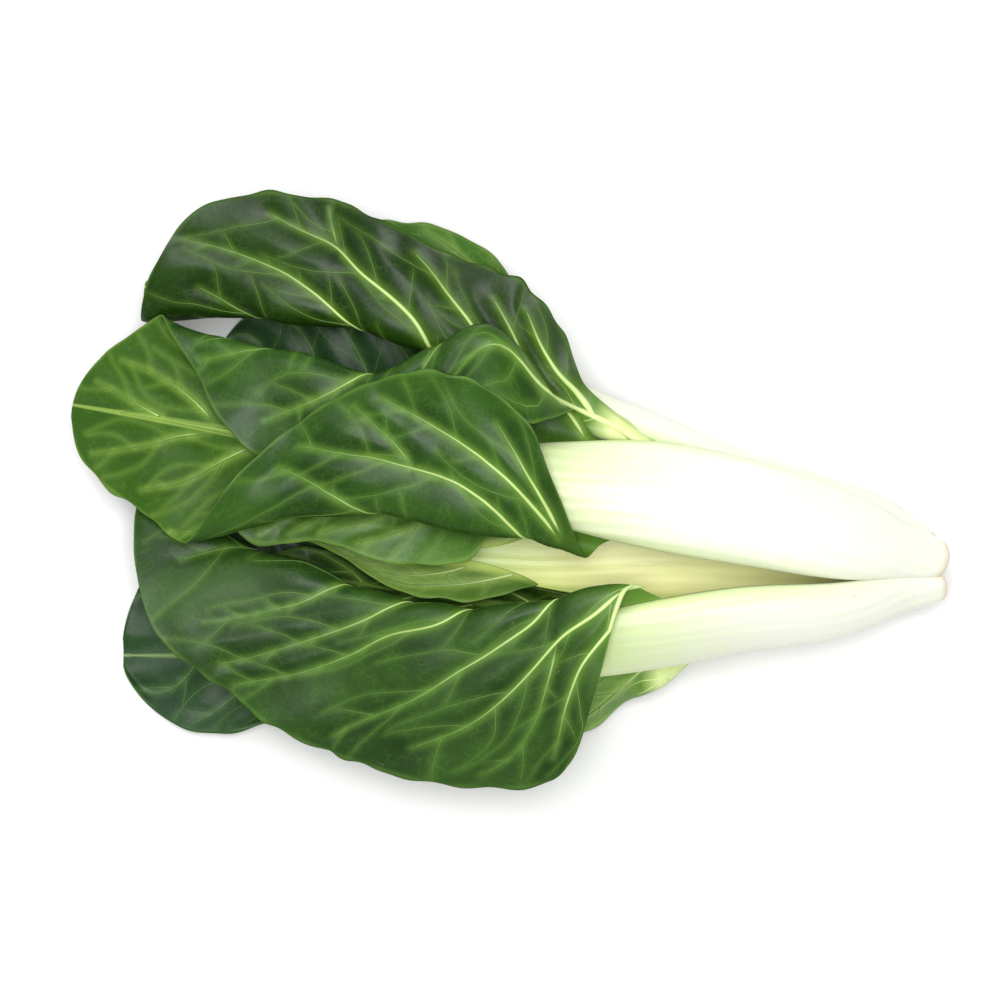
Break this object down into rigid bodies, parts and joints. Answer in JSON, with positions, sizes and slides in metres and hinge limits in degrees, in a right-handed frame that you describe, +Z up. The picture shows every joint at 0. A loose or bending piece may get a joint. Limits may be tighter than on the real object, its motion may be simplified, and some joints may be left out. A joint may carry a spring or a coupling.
{
  "type": "swiss chard",
  "caption": "Whole head of white-stalked leafy green lying on its side, dark green blades rolled back over broad white stalks, flat cut base",
  "frame": {"origin": "under the middle of the head's box, on the surface that it lies on", "axes": "+X along the head towards its cut base, +Y towards the back leaf, +Z up through the top leaf"},
  "size_m": [0.3506, 0.237, 0.0885],
  "materials": {
    "crown": "moist cut flesh, cream with a browned rim",
    "stalk": "white, ribbed, slightly waxy",
    "pale_stalk": "white shading to yellow-green, slightly waxy",
    "top_blade": "green leaf, soft gloss, pale veins",
    "front_blade": "dark green leaf, soft gloss, pale veins",
    "back_blade": "dark green leaf, soft gloss, white veins",
    "middle_blade": "light green underside of a leaf",
    "low_blade": "dark bluish green leaf in shade",
    "inner_blade": "young yellowish green leaf"
  },
  "bodies": {
    "root": {"crown": "crown", "top_leaf_stalk": "stalk", "top_leaf_blade": "top_blade", "front_leaf_stalk": "stalk", "front_leaf_blade": "front_blade", "back_leaf_stalk": "stalk", "back_leaf_blade": "back_blade", "middle_leaf_stalk": "pale_stalk", "middle_leaf_blade": "middle_blade", "low_front_leaf_stalk": "stalk", "low_front_leaf_blade": "low_blade", "low_back_leaf_stalk": "stalk", "low_back_leaf_blade": "low_blade", "inner_front_leaf_stalk": "pale_stalk", "inner_front_leaf_blade": "inner_blade", "heart_leaf_1_stalk": "pale_stalk", "heart_leaf_1_blade": "inner_blade", "heart_leaf_2_stalk": "pale_stalk", "heart_leaf_2_blade": "inner_blade"}
  },
  "joints": []
}
